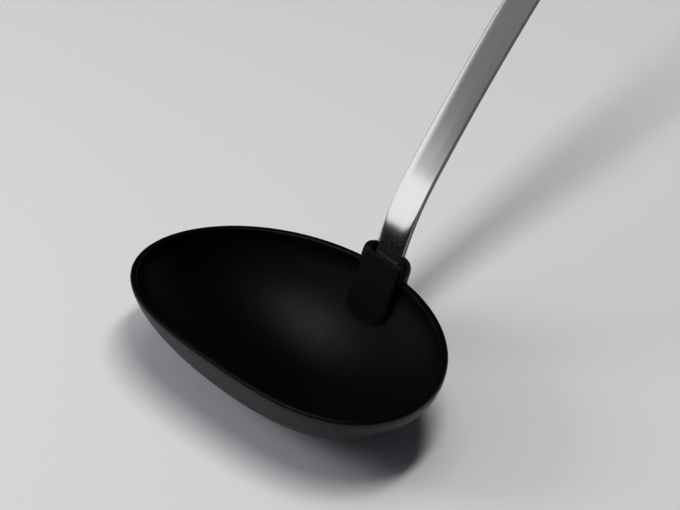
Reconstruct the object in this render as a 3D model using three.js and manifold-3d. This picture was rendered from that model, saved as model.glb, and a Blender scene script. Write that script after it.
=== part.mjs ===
// Sauce ladle: a moulded black nylon bowl on a bent strip of brushed stainless steel.
// Millimetres. X runs across the bowl, Y from its front edge towards the handle, Z up.
// The origin is the middle of the small flat that the bowl stands on.
import * as THREE from 'three';
import { mergeVertices } from 'three/addons/utils/BufferGeometryUtils.js';
import Module from 'manifold-3d';

const wasm = await Module();
wasm.setup();

// Bowl: a rounded triangle in plan, with two pouring corners and the handle on its third side
const bowlWidth = 110;          // across the two pouring corners
const frontReach = 34.2;        // from the base centre to the front edge
const backReach = 33;           // from the base centre to the edge under the handle
const widestForward = 7.2;      // the widest line lies this far in front of the base centre
const cornerDraw = 0.122;       // how far the corners are drawn back, as a share of the half width
const bowlDepth = 25.5;         // from the flat underneath to the top of the lip
const wallRoundness = 1.6;      // 2 gives elliptic walls, lower values lean the upper wall inwards
const wall = 2.2;               // wall thickness at the lip
const floorThickness = 2.4;     // thickness in the middle of the bowl
const baseWidth = 20;           // width of the flat underneath
const lipRound = 0.7;           // both edges of the lip

// Handle: one strip, straight in the socket, then bent back in two sweeps
const stripWidth = 10.8;
const stripThickness = 2;
const crownWidth = 3.2;         // both faces fall away this far in from the long edges
const crownDepth = 0.5;
const stripSetback = 2.9;       // from the bowl's edge in to the strip's front face, at lip height
const tangAngle = 67.6;         // degrees from the lip plane, inside the socket
const neckAngle = 51.8;         // after the neck bend
const gripAngle = 42.6;         // after the long sweep
const tangDepth = 11;           // below the lip plane, along the strip
const neckStart = 8.4;          // the neck bend starts this far above the lip plane
const neckRadius = 86;          // on the strip's front face
const sweepRadius = 626;        // on the strip's front face
const gripLength = 95;          // the straight grip, to the rounded end
const slotWidth = 5;            // hanging slot
const slotLength = 14;
const slotFromEnd = 6;          // steel between the slot and the rounded end

// Socket, moulded with the bowl: a tab behind and beside the strip, and a plate in front of the tang
const tabWidth = 17.9;
const tabHeight = 7.5;          // above the lip plane, along the strip
const tabTail = 13.6;           // below the lip plane, on the outside of the bowl
const tabTopCorner = 4.3;
const tabTailCorner = 3.8;
const tabBack = 1.2;            // nylon behind the strip
const tabProud = 0.75;          // the tab's ears in front of the strip's front face
const tabRound = 2.3;           // the tab's domed edges, outside
const plateTopWidth = 15;
const plateFootWidth = 17.2;
const plateTop = 4.8;           // above the lip plane, along the strip
const plateFoot = 15.6;         // below the lip plane, where the plate runs into the wall
const plateProud = 1.2;         // the plate's face in front of the strip, at its top edge
const plateDraft = 2.5;         // degrees by which the plate stands out further towards its foot
const plateTopCorner = 1;
const plateFootCorner = 7;
const plateRound = 0.6;         // the plate's front edges
const studDiameter = 3.4;       // two nylon studs run through the tang's holes and lock it
const studSpacing = 5;
const studFromLip = 2.8;        // the upper stud lies this far below the lip plane
const seatGap = 0.3;            // clearance between the nylon and the steel

// Fineness of the curved surfaces
const segmentsAround = 72;
const ringsUp = 12;
const lipSteps = 3;
const edgeSteps = 4;
const bendSegments = 8;
const cornerSegments = 6;
const studSegments = 20;

const spare = 1;                // how far a cutting body passes the face that it cuts
const toRadians = THREE.MathUtils.degToRad;

const nylon = { color: 0x141414, roughness: 0.55, metalness: 0 };
const steel = { color: 0xb4b4b2, roughness: 0.32, metalness: 1 };

// Closed mesh to solid, and solid to mesh
function toSolid(geometry) {
  geometry.deleteAttribute('normal');
  geometry.deleteAttribute('uv');
  const merged = mergeVertices(geometry);
  const vertProperties = new Float32Array(merged.attributes.position.array);
  const triVerts = new Uint32Array(merged.index.array);
  return new wasm.Manifold(new wasm.Mesh({ numProp: 3, vertProperties, triVerts }));
}

function toGeometry(solid) {
  const mesh = solid.getMesh();
  const geometry = new THREE.BufferGeometry();
  geometry.setAttribute('position', new THREE.BufferAttribute(mesh.vertProperties, mesh.numProp));
  geometry.setIndex(new THREE.BufferAttribute(mesh.triVerts, 1));
  geometry.computeVertexNormals();
  return geometry;
}

// Skin over rings of points, closed at both ends by a fan to a pole
function loft(rings, firstPole, lastPole) {
  const count = rings[0].length;
  const points = [firstPole, ...rings.flat(), lastPole];
  const last = points.length - 1;
  const at = (ring, i) => 1 + ring * count + (i % count);
  const faces = [];
  for (let i = 0; i < count; i++) {
    faces.push(0, at(0, i), at(0, i + 1));
    for (let ring = 0; ring < rings.length - 1; ring++) {
      faces.push(at(ring, i), at(ring + 1, i), at(ring + 1, i + 1));
      faces.push(at(ring, i), at(ring + 1, i + 1), at(ring, i + 1));
    }
    faces.push(last, at(rings.length - 1, i + 1), at(rings.length - 1, i));
  }
  const geometry = new THREE.BufferGeometry().setFromPoints(points);
  geometry.setIndex(faces);
  return geometry;
}

// Level outline of the bowl: share is 1 at the lip and falls to 0 at the middle of the floor,
// where the outline has turned from a rounded triangle into an ellipse
function bowlOutline(share, inset, z) {
  const halfLength = (frontReach + backReach) / 2 - inset;
  const middle = (backReach - frontReach) / 2;
  const widestCos = (Math.sqrt(1 + 32 * cornerDraw ** 2) - 1) / (8 * cornerDraw);
  const widestSin = Math.sqrt(1 - widestCos ** 2);
  const acrossUnit = (bowlWidth / 2 - inset) / (widestSin * (1 + 2 * cornerDraw * widestCos));
  const triangle = (middle + halfLength * widestCos + widestForward) / (2 * widestSin ** 2);
  const outline = [];
  for (let i = 0; i < segmentsAround; i++) {
    const turn = (2 * Math.PI * i) / segmentsAround;
    const across = acrossUnit * (Math.sin(turn) + share * cornerDraw * Math.sin(2 * turn));
    const along = middle - triangle + halfLength * Math.cos(turn) + share * triangle * Math.cos(2 * turn);
    outline.push(new THREE.Vector3(share * across, share * along, z));
  }
  return outline;
}

// Rings of one wall surface, from the lip's shoulder down to the share where it ends
function wallRings(inset, floorZ, lastShare) {
  const shoulderZ = bowlDepth - lipRound;
  const drop = (share) => (1 - share ** 2) ** (1 / wallRoundness);
  const rings = [];
  for (let i = 0; i <= ringsUp; i++) {
    const share = Math.cos((i / ringsUp) * Math.acos(lastShare));
    const z = shoulderZ - (shoulderZ - floorZ) * (drop(share) / drop(lastShare));
    rings.push(bowlOutline(share, inset, z));
  }
  return rings;
}

// The lip between the outer and the inner wall, with both edges rounded
function lipRings() {
  const rings = [];
  for (let i = 1; i <= lipSteps; i++) {
    const angle = (i / lipSteps) * (Math.PI / 2);
    const inset = lipRound * (1 - Math.cos(angle));
    rings.push(bowlOutline(1, inset, bowlDepth - lipRound * (1 - Math.sin(angle))));
  }
  for (let i = lipSteps; i >= 1; i--) {
    const angle = (i / lipSteps) * (Math.PI / 2);
    const inset = wall - lipRound * (1 - Math.cos(angle));
    rings.push(bowlOutline(1, inset, bowlDepth - lipRound * (1 - Math.sin(angle))));
  }
  return rings;
}

const innerEnd = 0.08;          // share of the last inner ring, round the middle of the floor

function bowlShell() {
  const outerRings = wallRings(0, 0, baseWidth / bowlWidth).reverse();
  const innerRings = wallRings(wall, floorThickness, innerEnd);
  const rings = [...outerRings, ...lipRings(), ...innerRings];
  return toSolid(loft(rings, new THREE.Vector3(0, 0, 0), new THREE.Vector3(0, 0, floorThickness)));
}

// All that lies inside the middle of the wall, up to a level
function wallCore(topZ) {
  const floorZ = floorThickness / 2;
  const rings = wallRings(wall / 2, floorZ, innerEnd).reverse();
  rings.push(bowlOutline(1, wall / 2, topZ));
  return toSolid(loft(rings, new THREE.Vector3(0, 0, floorZ), new THREE.Vector3(0, 0, topZ)));
}

// Socket frame: origin where the strip's front face crosses the lip plane, X across,
// Y up along the tang and Z out of the strip's front face
const tang = toRadians(tangAngle);
const mouthY = backReach - stripSetback;
const socketFrame = new THREE.Matrix4()
  .makeBasis(
    new THREE.Vector3(1, 0, 0),
    new THREE.Vector3(0, Math.cos(tang), Math.sin(tang)),
    new THREE.Vector3(0, -Math.sin(tang), Math.cos(tang)),
  )
  .setPosition(0, mouthY, bowlDepth);

// Outline through corners [x, y, radius], each rounded
function roundedOutline(corners) {
  const shape = new THREE.Shape();
  corners.forEach(([x, y, radius], i) => {
    const corner = new THREE.Vector2(x, y);
    const [beforeX, beforeY] = corners.at(i - 1);
    const [afterX, afterY] = corners[(i + 1) % corners.length];
    const before = new THREE.Vector2(beforeX, beforeY).sub(corner).normalize();
    const after = new THREE.Vector2(afterX, afterY).sub(corner).normalize();
    const cut = radius / Math.tan(Math.acos(before.dot(after)) / 2);
    const from = corner.clone().addScaledVector(before, cut);
    const to = corner.clone().addScaledVector(after, cut);
    if (i === 0) shape.moveTo(from.x, from.y);
    else shape.lineTo(from.x, from.y);
    shape.quadraticCurveTo(corner.x, corner.y, to.x, to.y);
  });
  shape.closePath();
  return shape;
}

function rectangle(left, right, bottom, top) {
  const shape = new THREE.Shape();
  shape.moveTo(left, bottom);
  shape.lineTo(right, bottom);
  shape.lineTo(right, top);
  shape.lineTo(left, top);
  shape.closePath();
  return shape;
}

function circle(x, y, diameter) {
  return new THREE.Shape().absarc(x, y, diameter / 2, 0, 2 * Math.PI);
}

// Body of an outline between two heights in a frame. Where round is given, its edges are rounded
// over that height, and drawn in by as much, or by inset, which makes the rounding elliptic
function prism(shape, from, to, frame, options = {}) {
  const { round = 0, inset = round, curveSegments = cornerSegments } = options;
  const geometry = new THREE.ExtrudeGeometry(shape, {
    depth: to - from - 2 * round,
    bevelEnabled: round > 0,
    bevelThickness: round,
    bevelSize: inset,
    bevelOffset: -inset,
    bevelSegments: edgeSteps,
    curveSegments,
  });
  geometry.translate(0, 0, from + round);
  return toSolid(geometry.applyMatrix4(frame));
}

function tabOutline() {
  const half = tabWidth / 2;
  return roundedOutline([
    [-half, -tabTail, tabTailCorner],
    [half, -tabTail, tabTailCorner],
    [half, tabHeight, tabTopCorner],
    [-half, tabHeight, tabTopCorner],
  ]);
}

function plateOutline() {
  const top = plateTopWidth / 2;
  const foot = plateFootWidth / 2;
  const length = plateTop + plateFoot;
  return roundedOutline([
    [-foot, -length, plateFootCorner],
    [foot, -length, plateFootCorner],
    [top, 0, plateTopCorner],
    [-top, 0, plateTopCorner],
  ]);
}

const studPlaces = [-studFromLip, -studFromLip - studSpacing];
const pocketBack = -(stripThickness + seatGap);
const pocketFront = seatGap;
const tabBackFace = pocketBack - tabBack;

// Plate frame: origin in the middle of the plate's top edge, Z out of its leaning face
const plateFrame = socketFrame.clone()
  .multiply(new THREE.Matrix4().makeTranslation(0, plateTop, plateProud))
  .multiply(new THREE.Matrix4().makeRotationX(toRadians(-plateDraft)));

// Tab: rounded on the outside of the bowl, with ears beside the strip above the lip
function tabBody() {
  const trim = rectangle(-tabWidth, tabWidth, -2 * tabTail, 2 * tabTail);
  return prism(tabOutline(), tabBackFace, tabProud + 2 * tabRound, socketFrame, { round: tabRound })
    .subtract(prism(trim, tabProud, tabProud + 3 * tabRound, socketFrame))
    .subtract(wallCore(bowlDepth - lipRound / 2));
}

// Plate: softened front edges, and a back that ends inside the wall
function plateBody() {
  const reach = tabBackFace - plateProud;
  return prism(plateOutline(), reach, 0, plateFrame, { round: plateRound })
    .intersect(wallCore(bowlDepth + tabHeight));
}

// Bowl with its socket: a pocket for the tang, with two studs across it,
// that is open in front between the ears, above the plate
function bowlBody() {
  const half = stripWidth / 2 + seatGap;
  const pocket = rectangle(-half, half, -tangDepth - seatGap, tabHeight + spare);
  const gapOverPlate = rectangle(-half, half, plateTop, tabHeight + spare);
  let body = bowlShell()
    .add(tabBody())
    .add(plateBody())
    .subtract(prism(pocket, pocketBack, pocketFront, socketFrame))
    .subtract(prism(gapOverPlate, pocketBack, tabProud + spare, socketFrame));
  for (const place of studPlaces) {
    const stud = circle(0, place, studDiameter);
    const [from, to] = [pocketBack - tabBack / 2, pocketFront + plateProud / 2];
    body = body.add(prism(stud, from, to, socketFrame, { curveSegments: studSegments }));
  }
  return body;
}

// Where the strip's front face has got to: a point in the YZ plane and a heading in degrees
function sweep(from, headingFrom, headingTo, radius) {
  const centre = new THREE.Vector2(
    from.x + radius * Math.sin(toRadians(headingFrom)),
    from.y - radius * Math.cos(toRadians(headingFrom)),
  );
  const to = new THREE.Vector2(
    centre.x - radius * Math.sin(toRadians(headingTo)),
    centre.y + radius * Math.cos(toRadians(headingTo)),
  );
  return { centre, to };
}

function ahead(from, heading, distance) {
  return new THREE.Vector2(
    from.x + distance * Math.cos(toRadians(heading)),
    from.y + distance * Math.sin(toRadians(heading)),
  );
}

const mouth = new THREE.Vector2(mouthY, bowlDepth);
const tangEnd = ahead(mouth, tangAngle, -tangDepth);
const neckFrom = ahead(mouth, tangAngle, neckStart);
const neck = sweep(neckFrom, tangAngle, neckAngle, neckRadius);
const long = sweep(neck.to, neckAngle, gripAngle, sweepRadius);
const gripEnd = ahead(long.to, gripAngle, gripLength);

// Side view of the strip: its front face from the tang to the end, and its back face home again
function stripSide() {
  const radial = (heading) => toRadians(heading + 90);
  const behind = (point, heading) => ahead(point, heading - 90, stripThickness);
  const side = new THREE.Shape();
  side.moveTo(tangEnd.x, tangEnd.y);
  side.lineTo(neckFrom.x, neckFrom.y);
  side.absarc(neck.centre.x, neck.centre.y, neckRadius, radial(tangAngle), radial(neckAngle), true);
  side.absarc(long.centre.x, long.centre.y, sweepRadius, radial(neckAngle), radial(gripAngle), true);
  side.lineTo(gripEnd.x, gripEnd.y);
  const backEnd = behind(gripEnd, gripAngle);
  side.lineTo(backEnd.x, backEnd.y);
  const sweepInside = sweepRadius - stripThickness;
  const neckInside = neckRadius - stripThickness;
  side.absarc(long.centre.x, long.centre.y, sweepInside, radial(gripAngle), radial(neckAngle), false);
  side.absarc(neck.centre.x, neck.centre.y, neckInside, radial(neckAngle), radial(tangAngle), false);
  const backStart = behind(tangEnd, tangAngle);
  side.lineTo(backStart.x, backStart.y);
  side.closePath();
  return side;
}

// Handle: the side view drawn out to the strip's width, with a round end, a slot and tang holes
function handleBody() {
  const sideFrame = new THREE.Matrix4().makeBasis(
    new THREE.Vector3(0, 1, 0),
    new THREE.Vector3(0, 0, 1),
    new THREE.Vector3(1, 0, 0),
  );
  const grip = toRadians(gripAngle);
  const endFrame = new THREE.Matrix4()
    .makeBasis(
      new THREE.Vector3(1, 0, 0),
      new THREE.Vector3(0, Math.cos(grip), Math.sin(grip)),
      new THREE.Vector3(0, -Math.sin(grip), Math.cos(grip)),
    )
    .setPosition(0, gripEnd.x, gripEnd.y);
  const half = stripWidth / 2;
  const through = [-stripThickness - spare, spare];

  const endTrim = new THREE.Shape();
  endTrim.moveTo(-half - spare, -half);
  endTrim.lineTo(-half, -half);
  endTrim.absarc(0, -half, half, Math.PI, 0, true);
  endTrim.lineTo(half + spare, -half);
  endTrim.lineTo(half + spare, spare);
  endTrim.lineTo(-half - spare, spare);
  endTrim.closePath();

  const slotRadius = slotWidth / 2;
  const slotTop = -slotFromEnd - slotRadius;
  const slotFoot = slotTop - slotLength + slotWidth;
  const slot = new THREE.Shape();
  slot.absarc(0, slotTop, slotRadius, 0, Math.PI, false);
  slot.absarc(0, slotFoot, slotRadius, Math.PI, 2 * Math.PI, false);
  slot.closePath();

  let body = prism(stripSide(), -half, half, sideFrame, {
    round: crownWidth,
    inset: crownDepth,
    curveSegments: bendSegments,
  })
    .subtract(prism(endTrim, ...through, endFrame, { curveSegments: studSegments }))
    .subtract(prism(slot, ...through, endFrame, { curveSegments: bendSegments }));
  for (const place of studPlaces) {
    const hole = circle(0, place, studDiameter + 2 * seatGap);
    body = body.subtract(prism(hole, ...through, socketFrame, { curveSegments: studSegments }));
  }
  return body;
}

function piece(name, solid, finish) {
  const mesh = new THREE.Mesh(toGeometry(solid), new THREE.MeshStandardMaterial(finish));
  mesh.name = name;
  return mesh;
}

const ladle = new THREE.Group();
ladle.add(piece('bowl', bowlBody(), nylon));
ladle.add(piece('handle', handleBody(), steel));

export default ladle;
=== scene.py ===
import math

import bmesh
import bpy
from mathutils import Matrix, Quaternion, Vector


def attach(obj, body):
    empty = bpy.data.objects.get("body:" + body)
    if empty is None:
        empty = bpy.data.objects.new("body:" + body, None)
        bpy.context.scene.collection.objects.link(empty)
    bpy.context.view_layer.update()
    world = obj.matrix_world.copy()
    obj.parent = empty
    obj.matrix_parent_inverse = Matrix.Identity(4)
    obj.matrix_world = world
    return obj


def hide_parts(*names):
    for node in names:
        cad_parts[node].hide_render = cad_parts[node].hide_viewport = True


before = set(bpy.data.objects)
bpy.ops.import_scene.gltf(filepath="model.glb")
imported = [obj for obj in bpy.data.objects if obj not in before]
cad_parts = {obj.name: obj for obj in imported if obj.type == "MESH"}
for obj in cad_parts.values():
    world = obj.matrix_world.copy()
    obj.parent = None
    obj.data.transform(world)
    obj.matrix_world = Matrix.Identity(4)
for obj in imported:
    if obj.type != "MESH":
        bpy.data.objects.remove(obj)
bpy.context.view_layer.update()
scene = bpy.context.scene
mm = 0.001


def hexToLinear(code):
    # sRGB hex as picked, to the linear values that the shaders want
    parts = [int(code[i:i + 2], 16) / 255 for i in (1, 3, 5)]
    return tuple(c / 12.92 if c <= 0.04045 else ((c + 0.055) / 1.055) ** 2.4 for c in parts) + (1.0,)


def addNode(tree, kind, links=None, **settings):
    # keys starting with in_ are socket values, the rest are node settings, links feed the inputs
    node = tree.nodes.new(kind)
    for key, value in settings.items():
        if key.startswith("in_"):
            name = key[3:]
            node.inputs[int(name) if name.isdigit() else name.replace("_", " ")].default_value = value
        else:
            setattr(node, key, value)
    for socket, source in (links or {}).items():
        tree.links.new(source, node.inputs[socket])
    return node


def newMaterial(name):
    material = bpy.data.materials.new(name)
    material.use_nodes = True
    tree = material.node_tree
    tree.nodes.clear()
    return material, tree


def finishMaterial(tree, shader):
    addNode(tree, "ShaderNodeOutputMaterial", {"Surface": shader.outputs[0]})


# black nylon, sizes in millimetres. Spark-eroded grain is usually some 0.15 mm, too fine to show,
# so it is drawn as coarse as it needs to be
nylon = dict(black="#070707", worn="#0f0f0f", grain=0.6, grainDepth=0.08, cloud=16, scuff=7,
             smooth=0.36, dull=0.48, scuffed=0.06, ior=1.53)


def mouldedBlackNylon(name, gloss):
    # out of a spark-eroded mould: the grain breaks the highlight into a soft, speckled glow
    material, tree = newMaterial(name)
    place = addNode(tree, "ShaderNodeTexCoord").outputs["Object"]
    grain = addNode(tree, "ShaderNodeTexNoise", {"Vector": place},
                    in_Scale=1 / (nylon["grain"] * mm), in_Detail=2.0, in_Roughness=0.6)
    cloud = addNode(tree, "ShaderNodeTexNoise", {"Vector": place},
                    in_Scale=1 / (nylon["cloud"] * mm), in_Detail=3.0, in_Roughness=0.6)
    scuffPlace = addNode(tree, "ShaderNodeMapping", {"Vector": place},
                         in_Rotation=(0.3, 0.2, 0.7), in_Scale=(1.0, 9.0, 4.0))
    scuff = addNode(tree, "ShaderNodeTexNoise", {"Vector": scuffPlace.outputs[0]},
                    in_Scale=1 / (nylon["scuff"] * mm), in_Detail=4.0)
    scuffBand = addNode(tree, "ShaderNodeMapRange", {"Value": scuff.outputs[0]},
                        in_From_Min=0.62, in_From_Max=0.78)
    edge = addNode(tree, "ShaderNodeNewGeometry")
    worn = addNode(tree, "ShaderNodeMapRange", {"Value": edge.outputs["Pointiness"]},
                   in_From_Min=0.57, in_From_Max=0.66)
    base = addNode(tree, "ShaderNodeMix", {"Factor": worn.outputs[0]}, data_type="RGBA",
                   in_6=hexToLinear(nylon["black"]), in_7=hexToLinear(nylon["worn"]))
    dull = addNode(tree, "ShaderNodeMapRange", {"Value": cloud.outputs[0]},
                   in_To_Min=nylon["smooth"], in_To_Max=nylon["dull"])
    rough = addNode(tree, "ShaderNodeMath", {0: scuffBand.outputs[0], 2: dull.outputs[0]},
                    operation="MULTIPLY_ADD", in_1=nylon["scuffed"])
    bump = addNode(tree, "ShaderNodeBump", {"Height": grain.outputs[0]},
                   in_Strength=0.8, in_Distance=nylon["grainDepth"] * mm)
    shader = addNode(tree, "ShaderNodeBsdfPrincipled", {
        "Base Color": base.outputs[2], "Roughness": rough.outputs[0], "Normal": bump.outputs[0]},
        in_IOR=nylon["ior"], in_Specular_IOR_Level=gloss)
    finishMaterial(tree, shader)
    return material


# belt brushing, in millimetres across and along the strip. Single scratches are too fine to show,
# so wider bands lie over them
# the sheared edge's colour is painted shade: darker than the steel is, standing for the shade on the
# strip's sides
brushing = dict(dark="#c6c4c0", light="#d6d5d2", shearedAndShaded="#7d7c7b", streak=(0.07, 9), band=(0.35, 30),
                smooth=0.12, rough=0.17, shearedRough=0.3, streakDepth=0.01, stretch=0.75)


def brushedStainless():
    # reflections stay crisp along the strip and smear across it, and its sheared edge is dull, with its
    # colour darkened as painted shade
    material, tree = newMaterial("stainless steel brushed lengthwise")
    flat = addNode(tree, "ShaderNodeUVMap", uv_map="flatStrip").outputs[0]
    lines = {}
    for name, detail in (("streak", 3.0), ("band", 2.0)):
        wide, long = brushing[name]
        drawn = addNode(tree, "ShaderNodeMapping", {"Vector": flat}, in_Scale=(1 / wide, 1 / long, 1.0))
        lines[name] = addNode(tree, "ShaderNodeTexNoise", {"Vector": drawn.outputs[0]},
                              in_Scale=1.0, in_Detail=detail).outputs[0]
    shearedAndShaded = addNode(tree, "ShaderNodeAttribute", attribute_name="shearedAndShaded").outputs["Fac"]
    tone = addNode(tree, "ShaderNodeMix", {"Factor": lines["band"]}, data_type="RGBA",
                   in_6=hexToLinear(brushing["dark"]), in_7=hexToLinear(brushing["light"]))
    # painted shade: the sheared edge's colour is darkened for the shade that falls on the strip's sides
    tone = addNode(tree, "ShaderNodeMix", {"Factor": shearedAndShaded, 6: tone.outputs[2]}, data_type="RGBA",
                   in_7=hexToLinear(brushing["shearedAndShaded"]))
    brushed = addNode(tree, "ShaderNodeMapRange", {"Value": lines["streak"]},
                      in_To_Min=brushing["smooth"], in_To_Max=brushing["rough"])
    rough = addNode(tree, "ShaderNodeMath", {0: shearedAndShaded, 2: brushed.outputs[0]},
                    operation="MULTIPLY_ADD", in_1=brushing["shearedRough"])
    bump = addNode(tree, "ShaderNodeBump", {"Height": lines["streak"]},
                   in_Strength=0.12, in_Distance=brushing["streakDepth"] * mm)
    across = addNode(tree, "ShaderNodeTangent", direction_type="UV_MAP", uv_map="flatStrip")
    shader = addNode(tree, "ShaderNodeBsdfPrincipled", {
        "Base Color": tone.outputs[2], "Roughness": rough.outputs[0], "Normal": bump.outputs[0],
        "Tangent": across.outputs[0]}, in_Metallic=1.0, in_Anisotropic=brushing["stretch"])
    finishMaterial(tree, shader)
    return material


def palePaper():
    # matt seamless paper: even and soft, with no shine
    material, tree = newMaterial("matt paper sweep")
    place = addNode(tree, "ShaderNodeTexCoord").outputs["Object"]
    fibre = addNode(tree, "ShaderNodeTexNoise", {"Vector": place}, in_Scale=1 / (1.5 * mm), in_Detail=3.0)
    tone = addNode(tree, "ShaderNodeMix", {"Factor": fibre.outputs[0]}, data_type="RGBA",
                   in_6=hexToLinear("#e3e4e6"), in_7=hexToLinear("#e6e7e9"))
    shader = addNode(tree, "ShaderNodeBsdfPrincipled", {"Base Color": tone.outputs[2]}, in_Roughness=0.9)
    finishMaterial(tree, shader)
    return material


# meshes

def meshObject(name, points, faces):
    data = bpy.data.meshes.new(name)
    data.from_pydata([tuple(p) for p in points], [], faces)
    data.update()
    piece = bpy.data.objects.new(name, data)
    scene.collection.objects.link(piece)
    return piece


def bakeModifiers(piece):
    # keeps the evaluated mesh and drops the modifiers
    bpy.context.view_layer.update()
    shaped = bpy.data.meshes.new_from_object(piece.evaluated_get(bpy.context.evaluated_depsgraph_get()))
    piece.modifiers.clear()
    piece.data = shaped
    shaped.name = piece.name


def boolean(piece, other, operation):
    step = piece.modifiers.new(operation.lower(), "BOOLEAN")
    step.operation = operation
    step.solver = "MANIFOLD"
    step.object = other
    bakeModifiers(piece)
    bpy.data.objects.remove(other)


def loft(name, rings, firstPole, lastPole):
    # closed skin through rings of points, with a fan at either end
    count = len(rings[0])
    points = [firstPole] + [p for ring in rings for p in ring] + [lastPole]
    faces = []
    for i in range(count):
        j = (i + 1) % count
        faces.append((0, 1 + i, 1 + j))
        for r in range(len(rings) - 1):
            low, high = 1 + r * count, 1 + (r + 1) * count
            faces.append((low + i, high + i, high + j, low + j))
        top = 1 + (len(rings) - 1) * count
        faces.append((len(points) - 1, top + j, top + i))
    return meshObject(name, points, faces)


# bowl, in millimetres until the points are made
bowl = dict(width=110, front=34.2, back=33, widestForward=7.2, draw=0.122, depth=25.5, roundness=1.6,
            wall=2.2, floor=2.4, base=20, lip=0.7, floorMiddle=0.04, skin=0.25, skinSteps=4)


def bowlOutline(share, inset, z, count=192):
    # an oval and a second wave, which makes the pouring corners and fades towards the floor
    halfLength = (bowl["front"] + bowl["back"]) / 2 - inset
    middle = (bowl["back"] - bowl["front"]) / 2
    draw = bowl["draw"]
    widestCos = (math.sqrt(1 + 32 * draw ** 2) - 1) / (8 * draw)
    widestSin = math.sqrt(1 - widestCos ** 2)
    unit = (bowl["width"] / 2 - inset) / (widestSin * (1 + 2 * draw * widestCos))
    triangle = (middle + halfLength * widestCos + bowl["widestForward"]) / (2 * widestSin ** 2)
    ring = []
    for i in range(count):
        turn = 2 * math.pi * i / count
        across = unit * (math.sin(turn) + share * draw * math.sin(2 * turn))
        along = middle - triangle + halfLength * math.cos(turn) + share * triangle * math.cos(2 * turn)
        ring.append(Vector((share * across, share * along, z)) * mm)
    return ring


def wallRings(inset, floorZ, lastShare, steps=40):
    shoulder = bowl["depth"] - bowl["lip"]

    def drop(share):  # how far the wall has come down, at a share of the lip's outline
        return (1 - share ** 2) ** (1 / bowl["roundness"])

    rings = []
    for i in range(steps + 1):
        share = math.cos(i / steps * math.acos(lastShare))
        z = shoulder - (shoulder - floorZ) * drop(share) / drop(lastShare)
        rings.append(bowlOutline(share, inset, z))
    return rings


def lipRings(steps=6):
    rings = []
    for start, sign, order in ((0, 1, range(1, steps + 1)), (bowl["wall"], -1, range(steps, 0, -1))):
        for i in order:
            angle = i / steps * math.pi / 2
            inset = start + sign * bowl["lip"] * (1 - math.cos(angle))
            rings.append(bowlOutline(1, inset, bowl["depth"] - bowl["lip"] * (1 - math.sin(angle))))
    return rings


def bowlShell():
    outside = wallRings(0, 0, bowl["base"] / bowl["width"])[::-1]
    inside = wallRings(bowl["wall"], bowl["floor"], bowl["floorMiddle"])
    poles = Vector((0, 0, 0)), Vector((0, 0, bowl["floor"] * mm))
    return loft("bowlShell", outside + lipRings() + inside, *poles)


def wallCore(topZ):
    # everything inside the middle of the wall
    half, floorZ = bowl["wall"] / 2, bowl["floor"] / 2
    rings = wallRings(half, floorZ, bowl["floorMiddle"])[::-1] + [bowlOutline(1, half, topZ)]
    return loft("wallCore", rings, Vector((0, 0, floorZ * mm)), Vector((0, 0, topZ * mm)))


# strip and socket share the line of the tang
strip = dict(width=10.8, thickness=2, crown=3.2, crownDepth=0.5, crownHold=0.2, setback=2.9,
             tangAngle=67.6, neckAngle=51.8, gripAngle=42.6, tangDepth=11, neckStart=8.4,
             neckRadius=86, sweepRadius=626, grip=95,
             slotWidth=5, slotLength=14, slotFromEnd=6, slotEdge=0.3, slotClear=4)
socket = dict(tabWidth=17.9, tabHeight=7.5, tabTail=13.6, topCorner=4.3, tailCorner=3.8,
              back=1.2, proud=0.75, tabRound=2.3, tabFrontRound=0.35,
              plateTopWidth=15, plateFootWidth=17.2, plateTop=4.8, plateFoot=15.6, plateProud=1.2,
              plateTopCorner=1, plateFootCorner=7, plateRound=0.6, draft=2.5, gap=0.06, spare=1,
              fadeFrom=0.3, fadeOver=6, fadeBeside=2, fadeReach=3, fadeSteps=110)

mouth = Vector((0, bowl["back"] - strip["setback"], bowl["depth"]))


def leanFrame(origin, angle):
    a = math.radians(angle)
    turn = Matrix(((1, 0, 0), (0, math.cos(a), -math.sin(a)), (0, math.sin(a), math.cos(a)))).to_4x4()
    return Matrix.Translation(origin) @ turn


socketFrame = leanFrame(mouth, strip["tangAngle"])
plateFrame = (socketFrame @ Matrix.Translation((0, socket["plateTop"], socket["plateProud"]))
              @ Matrix.Rotation(math.radians(-socket["draft"]), 4, "X"))


def roundedOutline(corners, steps=12):
    points = []
    for i, (x, y, radius) in enumerate(corners):
        corner = Vector((x, y))
        before = (Vector(corners[i - 1][:2]) - corner).normalized()
        after = (Vector(corners[(i + 1) % len(corners)][:2]) - corner).normalized()
        half = before.angle(after) / 2
        start = corner + before * radius / math.tan(half)
        stop = corner + after * radius / math.tan(half)
        for k in range(steps + 1):
            t = k / steps
            points.append(start * (1 - t) ** 2 + corner * 2 * t * (1 - t) + stop * t ** 2)
    return points


def slab(name, outline, low, high, place, roundLow=0, roundHigh=0, steps=6):
    # outline drawn out between two heights, with rounded edges at either end
    centre = sum(outline, Vector((0, 0))) / len(outline)
    quarter = [math.pi / 2 * k / steps for k in range(steps + 1)]
    levels = []
    for radius, z, sign in ((roundLow, low, 1), (roundHigh, high, -1)):
        arc = [(0, z)]
        if radius:
            arc = [(radius * (1 - math.sin(a)), z + sign * radius * (1 - math.cos(a))) for a in quarter]
        levels += arc if sign > 0 else arc[::-1]
    rings = []
    for inset, z in levels:
        ring = []
        for i, p in enumerate(outline):
            along = (outline[(i + 1) % len(outline)] - outline[i - 1]).normalized()
            inward = Vector((-along.y, along.x))
            q = p + inward * inset
            ring.append((place @ Vector((q.x, q.y, z))) * mm)
        rings.append(ring[::-1])
    ends = [(place @ Vector((centre.x, centre.y, z))) * mm for z in (low, high)]
    return loft(name, rings, *ends)


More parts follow.
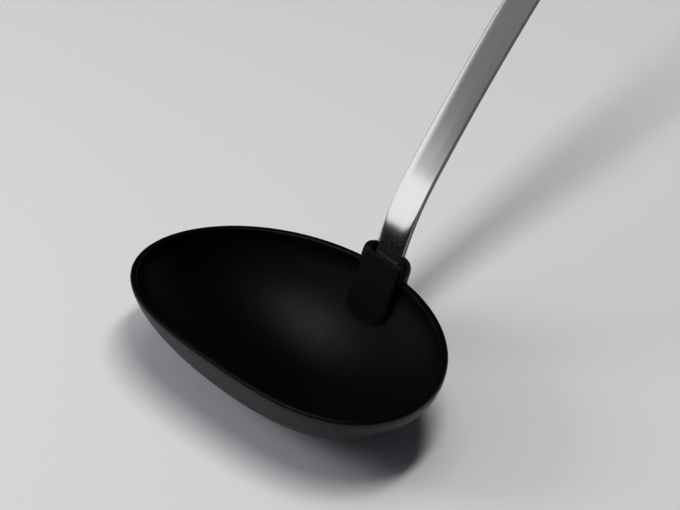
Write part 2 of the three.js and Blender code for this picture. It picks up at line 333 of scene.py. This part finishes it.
def makeBowl():
    half, tail, rise = socket["tabWidth"] / 2, -socket["tabTail"], socket["tabHeight"]
    pocketBack = -(strip["thickness"] + socket["gap"])
    backFace = pocketBack - socket["back"]
    tabLine = roundedOutline([
        (-half, tail, socket["tailCorner"]), (half, tail, socket["tailCorner"]),
        (half, rise, socket["topCorner"]), (-half, rise, socket["topCorner"])])
    tab = slab("tab", tabLine, backFace, socket["proud"], socketFrame,
               roundLow=socket["tabRound"], roundHigh=socket["tabFrontRound"])
    boolean(tab, wallCore(bowl["depth"] - bowl["lip"] / 2), "DIFFERENCE")
    top, foot = socket["plateTopWidth"] / 2, socket["plateFootWidth"] / 2
    length = socket["plateTop"] + socket["plateFoot"]
    plateLine = roundedOutline([
        (-foot, -length, socket["plateFootCorner"]), (foot, -length, socket["plateFootCorner"]),
        (top, 0, socket["plateTopCorner"]), (-top, 0, socket["plateTopCorner"])])
    plate = slab("plate", plateLine, backFace - socket["plateProud"], 0, plateFrame,
                 roundHigh=socket["plateRound"])
    boolean(plate, wallCore(bowl["depth"] + rise), "INTERSECT")
    side = strip["width"] / 2 + socket["gap"]
    below, above = -strip["tangDepth"] - socket["gap"], rise + socket["spare"]
    pocketLine = [Vector(p) for p in ((-side, below), (side, below), (side, above), (-side, above))]
    pocket = slab("pocket", pocketLine, pocketBack, socket["gap"], socketFrame)
    sill = socket["plateTop"]
    openLine = [Vector(p) for p in ((-side, sill), (side, sill), (side, above), (-side, above))]
    openFront = slab("openFront", openLine, pocketBack, socket["proud"] + socket["spare"], socketFrame)
    body = bowlShell()
    for other, operation in ((tab, "UNION"), (plate, "UNION"),
                             (pocket, "DIFFERENCE"), (openFront, "DIFFERENCE")):
        boolean(body, other, operation)
    # a fine even skin, relaxed a little, rounds every inside corner as the mould's cutter left it
    skin = body.modifiers.new("skin", "REMESH")
    skin.mode = "VOXEL"
    skin.voxel_size = bowl["skin"] * mm
    relax = body.modifiers.new("relax", "SMOOTH")
    relax.factor = 0.5
    relax.iterations = bowl["skinSteps"]
    bakeModifiers(body)
    # the plate's foot fades into the wall
    fade = body.vertex_groups.new(name="plateFoot")
    toPlate = plateFrame.inverted()
    fadeTop, reach = -length * socket["fadeFrom"], socket["fadeReach"]
    for vert in body.data.vertices:
        x, y, z = toPlate @ (vert.co / mm)
        if abs(x) < foot + socket["fadeBeside"] and -length - reach < y < fadeTop and abs(z) < reach:
            fade.add([vert.index], min(1.0, (fadeTop - y) / socket["fadeOver"]), "REPLACE")
    melt = body.modifiers.new("melt", "SMOOTH")
    melt.vertex_group = fade.name
    melt.factor = 0.5
    melt.iterations = socket["fadeSteps"]
    bakeModifiers(body)
    body.name = "mouldedBowl"
    for face in body.data.polygons:
        face.use_smooth = True
    print("bowl faces", len(body.data.polygons))
    return body


def stripStation(s):
    # point and heading of the strip's front face, s millimetres along it from the lip plane
    h0, h1, h2 = (math.radians(strip[k]) for k in ("tangAngle", "neckAngle", "gripAngle"))
    y, z = mouth.y, mouth.z
    first = min(s, strip["neckStart"])
    y, z = y + first * math.cos(h0), z + first * math.sin(h0)
    s -= first
    heading = h0
    for target, radius in ((h1, strip["neckRadius"]), (h2, strip["sweepRadius"])):
        run = min(s, radius * (heading - target))
        end = heading - run / radius
        y += radius * (math.sin(heading) - math.sin(end))
        z += radius * (math.cos(end) - math.cos(heading))
        heading = end
        s -= run
    return y + s * math.cos(heading), z + s * math.sin(heading), heading


def stripLength():
    bends = strip["neckRadius"] * math.radians(strip["tangAngle"] - strip["neckAngle"])
    bends += strip["sweepRadius"] * math.radians(strip["neckAngle"] - strip["gripAngle"])
    return strip["neckStart"] + bends + strip["grip"]


def stripRing(inset, stations=104, turns=24):
    # outline of the flat strip, drawn in from its edge
    half, low, endAt = strip["width"] / 2 - inset, -strip["tangDepth"], stripLength() - strip["width"] / 2
    side = [(half, low + inset)]
    side += [(half, low + (endAt - low) * i / stations) for i in range(1, stations + 1)]
    angles = [math.pi * k / turns for k in range(1, turns)]
    arc = [(half * math.cos(a), endAt + half * math.sin(a)) for a in angles]
    return side + arc + [(-x, s) for x, s in reversed(side)]


def slotRing(grow, turns=20):
    radius = strip["slotWidth"] / 2
    top = stripLength() - strip["slotFromEnd"] - radius
    foot = top - strip["slotLength"] + strip["slotWidth"]
    angles = [math.pi * k / turns for k in range(turns + 1)]
    cap = [((radius + grow) * math.cos(a), (radius + grow) * math.sin(a)) for a in angles]
    return [(x, top + s) for x, s in cap] + [(-x, foot - s) for x, s in cap]


def makeHandle(steps=8):
    # laid flat in rings from the crowned edges inwards, then bent along its line
    work = bmesh.new()
    # marks the sheared edge: the steel makes it rougher and darkens its colour as painted shade
    shearedAndShaded = work.verts.layers.float.new("shearedAndShaded")

    def ring(line, depth, cut=0.0):
        verts = [work.verts.new((x, s, depth)) for x, s in line]
        for vert in verts:
            vert[shearedAndShaded] = cut
        return verts

    def skin(rings):
        for outer, inner in zip(rings, rings[1:]):
            for i in range(len(outer)):
                work.faces.new((outer[i - 1], outer[i], inner[i], inner[i - 1]))

    quarter = [math.pi / 2 * k / steps for k in range(steps + 1)]
    edges, slotEdges = [], []
    for face, sign in ((0, -1), (-strip["thickness"], 1)):
        crown = [ring(stripRing(strip["crown"] * (1 - math.cos(a))),
                      face + sign * strip["crownDepth"] * (1 - math.sin(a)),
                      1.0 if a == 0 else 0.0) for a in quarter]
        flat = ring(stripRing(strip["crown"] + strip["crownHold"]), face)  # holds the middle flat
        skin(crown + [flat])
        slot = [ring(slotRing(strip["slotEdge"] * (1 - math.sin(a))),
                     face + sign * strip["slotEdge"] * (1 - math.cos(a)),
                     1.0 if a == quarter[-1] else 0.0) for a in quarter]
        skin(slot)
        edges.append(crown[0])
        slotEdges.append(slot[-1])
        # across the middle up to the slot, then round it
        below = min(v.co.y for v in slot[0]) - strip["slotClear"]
        count = len(flat)
        last = max(i for i in range(count // 2) if flat[i].co.y < below)
        for i in range(last):
            work.faces.new((flat[i], flat[i + 1], flat[count - 2 - i], flat[count - 1 - i]))
        loop = flat[last:count - last]
        borders = [work.edges.get((loop[i - 1], loop[i])) for i in range(len(loop))]
        borders += [work.edges.get((slot[0][i - 1], slot[0][i])) for i in range(len(slot[0]))]
        bmesh.ops.triangle_fill(work, edges=borders, use_beauty=True, normal=(0, 0, 1))
    skin(edges)
    skin(slotEdges)
    uv = work.loops.layers.uv.new("flatStrip")
    for face in work.faces:
        face.smooth = True
        for loop in face.loops:
            loop[uv].uv = (loop.vert.co.x, loop.vert.co.y)
    for vert in work.verts:
        x, s, n = vert.co
        y, z, heading = stripStation(s)
        vert.co = Vector((x, y - n * math.sin(heading), z + n * math.cos(heading))) * mm
    bmesh.ops.recalc_face_normals(work, faces=work.faces)
    data = bpy.data.meshes.new("bentStrip")
    work.to_mesh(data)
    work.free()
    piece = bpy.data.objects.new("bentStrip", data)
    scene.collection.objects.link(piece)
    print("strip faces", len(data.polygons))
    return piece


# the core of the mould is grained, its outer half smoother, and they meet round the lip
nylonInside = mouldedBlackNylon("moulded black nylon, grained inside", gloss=0.06)
nylonOutside = mouldedBlackNylon("moulded black nylon, satin outside", gloss=0.2)
steel = brushedStainless()

mouldedBowl = makeBowl()
mouldedBowl.data.materials.clear()
for finish in (nylonInside, nylonOutside):
    mouldedBowl.data.materials.append(finish)
for face in mouldedBowl.data.polygons:
    face.material_index = 0 if face.normal.z > 0 else 1
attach(mouldedBowl, "root")
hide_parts("bowl")

bentStrip = makeHandle()
bentStrip.data.materials.clear()
bentStrip.data.materials.append(steel)
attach(bentStrip, "root")
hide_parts("handle")

# floor, in metres
sweep = dict(radius=0.29, under=0.0002)
sheet = bpy.data.meshes.new("paper")
work = bmesh.new()
bmesh.ops.create_circle(work, cap_ends=True, segments=96, radius=sweep["radius"])
work.to_mesh(sheet)
work.free()
paper = bpy.data.objects.new("paper", sheet)
paper.location.z = -sweep["under"]
scene.collection.objects.link(paper)
sheet.materials.append(palePaper())
print("floor done")

# camera, at the photograph's angle with a long lens, in millimetres and degrees
view = dict(aim=(-14.34, 26.95, 25.5), azimuth=48.88, elevation=35.19, distance=1459,
            lens=268.3, sensor=36)
az, el = math.radians(view["azimuth"]), math.radians(view["elevation"])
toCamera = Vector((math.sin(az) * math.cos(el), -math.cos(az) * math.cos(el), math.sin(el)))
right = Vector((math.cos(az), math.sin(az), 0))
up = toCamera.cross(right)
lens = bpy.data.cameras.new("camera")
lens.lens = view["lens"]
lens.sensor_width = view["sensor"]
camera = bpy.data.objects.new("camera", lens)
place = Matrix((right, up, toCamera)).transposed().to_4x4()
place.translation = (Vector(view["aim"]) + toCamera * view["distance"]) * mm
camera.matrix_world = place
scene.collection.objects.link(camera)
scene.camera = camera


# light
def addSoftbox(name, toward, away, target, size, power, colour="#ffffff", turn=0):
    lamp = bpy.data.lights.new(name, "AREA")
    lamp.shape = "RECTANGLE"
    lamp.size, lamp.size_y = size
    lamp.energy = power
    lamp.color = hexToLinear(colour)[:3]
    box = bpy.data.objects.new(name, lamp)
    box.location = Vector(toward) * away
    facing = (Vector(target) - box.location).to_track_quat("-Z", "Y")
    box.rotation_euler = (facing @ Quaternion((0, 0, 1), math.radians(turn))).to_euler()
    scene.collection.objects.link(box)
    return box


# in metres and watts. A long box overhead lies along the handle's shadow and keeps it dark,
# a broad one softens the rest, and a small one lifts the left of the floor
warmWhite = "#fffcf6"
lampAim = (0, 0.02, 0)
overhead = [
    addSoftbox("key softbox", (0.2, 0.05, 0.979), 1.2, lampAim, (0.7, 0.15), 6.4, warmWhite, turn=5),
    addSoftbox("top softbox", (-0.11, 0.125, 0.986), 1.2, lampAim, (0.6, 0.6), 2.6, warmWhite),
    addSoftbox("left softbox", (-0.62, -0.6, 0.5), 0.6, (0, 0, 0), (0.25, 0.25), 1.1),
]
bowlLamp = addSoftbox("bowl softbox", (-0.6, -0.35, 0.72), 0.9, (0, 0, 0.02), (0.3, 0.3), 5.5)
# the ladle leans back in the photograph and stands level here, so the bowl has a light of its own
for name, boxes, pieces in (("lit from overhead", overhead, (paper, bentStrip)),
                            ("lit from the left", [bowlLamp], (mouldedBowl,))):
    group = bpy.data.collections.new(name)
    for piece in pieces:
        group.objects.link(piece)
    for box in boxes:
        box.visible_glossy = False
        box.light_linking.receiver_collection = group
# only gloss sees this one, where the bowl mirrors it
glow = addSoftbox("glow softbox", (-0.33, -0.30, 0.895), 1.2, lampAim, (0.35, 0.35), 6.6)
glow.visible_diffuse = False

# room that gloss sees: the ground, a dark wall, a bright window above its sill, a dim ceiling,
# and a glow behind and another low at the right for the strip's edges.
# Diffuse light sees a soft fill from the window's side, and the camera a pale ground
room = dict(groundGlow=0.5, wallGlow=0.045, windowGlow=1.08, ceilingGlow=0.24, behindGlow=0.6,
            rightGlow=0.2, fillLow=0.03, fillHigh=0.36)
# each part by an axis, and how far along it a direction lies where the part starts and where it is full
parts = dict(
    aboveSill=((-0.33, 0.13, 0.935), 0.183, 0.197),
    underHead=((0, 0, 1), 0.455, 0.345),
    underSlant=((0, 0.627, 0.779), -0.049, -0.175),
    windowSide=((-0.5, -0.866, 0), 0.5, 0.82),
    front=((0, -1, 0), 0.05, 0.55),
    lowRight=((0.75, -0.6, -0.28), 0.72, 0.9),
    behind=((0.35, 0.93, 0.1), 0.6, 0.95),
    ground=((0, 0, 1), 0, -0.06),
    besideWindow=((-0.6164, -0.7875, 0), 0.95, 0.75),
    fillSide=((-0.74, -0.66, 0.1), 0, 0.95),
)
world = bpy.data.worlds.new("room")
scene.world = world
world.use_nodes = True
tree = world.node_tree
tree.nodes.clear()
direction = addNode(tree, "ShaderNodeTexCoord").outputs["Generated"]
part = {}
for name, (axis, start, full) in parts.items():
    lean = addNode(tree, "ShaderNodeVectorMath", {0: direction}, operation="DOT_PRODUCT", in_1=axis)
    part[name] = addNode(tree, "ShaderNodeMapRange", {"Value": lean.outputs["Value"]},
                         interpolation_type="SMOOTHSTEP", in_From_Min=start, in_From_Max=full).outputs[0]
part["wall"] = addNode(tree, "ShaderNodeMapRange", {"Value": part["aboveSill"]},
                       in_To_Min=room["wallGlow"]).outputs[0]
for name, first, second, operation in (
        ("ceiling", "front", "wall", "MULTIPLY"),
        ("head", "underHead", "underSlant", "MAXIMUM"),
        ("window", "head", "windowSide", "MULTIPLY"),
        ("window", "window", "aboveSill", "MULTIPLY"),
        ("ground", "ground", "besideWindow", "MULTIPLY")):
    part[name] = addNode(tree, "ShaderNodeMath", {0: part[first], 1: part[second]},
                         operation=operation).outputs[0]
mirrored = addNode(tree, "ShaderNodeMath", {0: part["ground"]}, operation="MULTIPLY",
                   in_1=room["groundGlow"]).outputs[0]
for name, strength in (("window", "windowGlow"), ("ceiling", "ceilingGlow"),
                       ("behind", "behindGlow"), ("lowRight", "rightGlow")):
    mirrored = addNode(tree, "ShaderNodeMath", {0: part[name], 2: mirrored}, operation="MULTIPLY_ADD",
                       in_1=room[strength]).outputs[0]
fill = addNode(tree, "ShaderNodeMapRange", {"Value": part["fillSide"]},
               in_To_Min=room["fillLow"], in_To_Max=room["fillHigh"]).outputs[0]
gloss = addNode(tree, "ShaderNodeBackground", {"Strength": mirrored}, in_Color=hexToLinear("#fafbfd"))
air = addNode(tree, "ShaderNodeBackground", {"Strength": fill}, in_Color=hexToLinear("#e4ecff"))
pale = addNode(tree, "ShaderNodeBackground", in_Color=hexToLinear("#c8c9cb"), in_Strength=1.0)
path = addNode(tree, "ShaderNodeLightPath")
lit = addNode(tree, "ShaderNodeMixShader",
              {0: path.outputs["Is Glossy Ray"], 1: air.outputs[0], 2: gloss.outputs[0]})
both = addNode(tree, "ShaderNodeMixShader",
               {0: path.outputs["Is Camera Ray"], 1: lit.outputs[0], 2: pale.outputs[0]})
addNode(tree, "ShaderNodeOutputWorld", {"Surface": both.outputs[0]})
scene.view_settings.view_transform = "Standard"
print("camera and light done")
